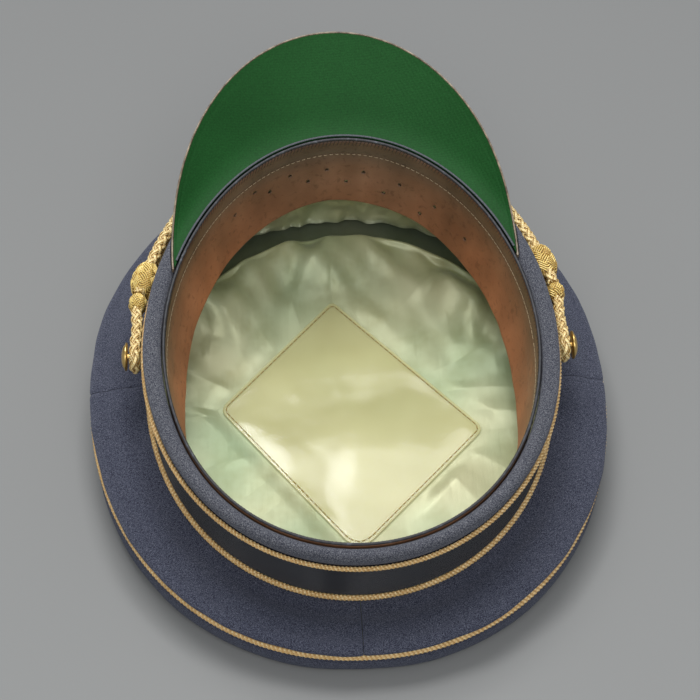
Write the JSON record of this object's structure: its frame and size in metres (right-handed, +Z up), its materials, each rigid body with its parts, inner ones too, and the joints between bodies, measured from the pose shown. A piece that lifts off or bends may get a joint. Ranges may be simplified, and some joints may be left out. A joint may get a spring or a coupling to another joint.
{
  "type": "military peaked cap",
  "caption": "Peaked service cap resting on its crown: wool crown, black ribbon band, lined visor, gold chin cord with slide knots, leather sweatband and satin lining.",
  "frame": {"origin": "centre of the bounding box in plan, on the floor under the crown's flat top", "axes": "+Z up out of the opening, with the cap stored upside down; +Y towards the visor; left in a node name is -X and right is +X"},
  "size_m": [0.2356, 0.279, 0.1174],
  "materials": {
    "field_grey_wool": "napped blue-grey wool",
    "black_ribbon": "matte ribbed black",
    "gold_braid": "satin twisted gold thread",
    "gilt": "satin",
    "patent_black": "gloss black",
    "green_cloth": "satin green with a fine diagonal grain",
    "brown_leather": "satin brown",
    "pale_satin": "lustrous pale green",
    "celluloid": "clear gloss, yellowed",
    "spring_steel": "satin",
    "card": "matte",
    "wadding": "matte",
    "seam_tape": "matte"
  },
  "bodies": {
    "cap": {"crown_top_panel": "field_grey_wool", "crown_front_left_panel": "field_grey_wool", "crown_front_right_panel": "field_grey_wool", "crown_rear_left_panel": "field_grey_wool", "crown_rear_right_panel": "field_grey_wool", "crown_piping": "gold_braid", "crown_hoop_wire": "spring_steel", "crown_front_stay": "spring_steel", "crown_padding": "wadding", "top_lining": "pale_satin", "side_lining": "pale_satin", "sweat_shield": "celluloid", "cap_band": "black_ribbon", "band_stiffener": "card", "band_lower_piping": "gold_braid", "band_upper_piping": "gold_braid", "edge_roll": "field_grey_wool", "sweatband": "brown_leather", "sweatband_reed": "brown_leather", "visor_board": "patent_black", "visor_lining": "green_cloth", "visor_edge_binding": "patent_black", "visor_seam_tape": "seam_tape"},
    "chin_cord": {"chin_cord_upper_strand": "gold_braid", "chin_cord_lower_strand": "gold_braid", "left_cord_loop": "gold_braid", "right_cord_loop": "gold_braid", "left_end_knot": "gold_braid", "right_end_knot": "gold_braid"},
    "left_slider": {"left_slide_knot": "gold_braid"},
    "right_slider": {"right_slide_knot": "gold_braid"},
    "left_button": {"left_side_button": "gilt", "left_button_washer": "spring_steel"},
    "right_button": {"right_side_button": "gilt", "right_button_washer": "spring_steel"}
  },
  "joints": [
    {"name": "chin_cord_lift", "type": "hinge", "parent": "cap", "child": "chin_cord", "pos_m": [0, -0.00494, 0.05776], "axis": [-1, 0, 0], "range_deg": [0, 6]},
    {"name": "left_knot_slide", "type": "hinge", "parent": "chin_cord", "child": "left_slider", "pos_m": [0.04603, -0.01085, 0.05683], "axis": [0, 0.1547, -0.988], "range_deg": [0, 7.5]},
    {"name": "right_knot_slide", "type": "hinge", "parent": "chin_cord", "child": "right_slider", "pos_m": [-0.04603, -0.01085, 0.05683], "axis": [0, -0.1547, 0.988], "range_deg": [0, 7.5]},
    {"name": "left_button_turn", "type": "hinge", "parent": "cap", "child": "left_button", "pos_m": [-0.09, -0.00514, 0.05772], "axis": [-0.9988, 0.0484, 0.0076], "continuous": true},
    {"name": "right_button_turn", "type": "hinge", "parent": "cap", "child": "right_button", "pos_m": [0.09, -0.00514, 0.05772], "axis": [0.9988, 0.0484, 0.0076], "continuous": true}
  ]
}
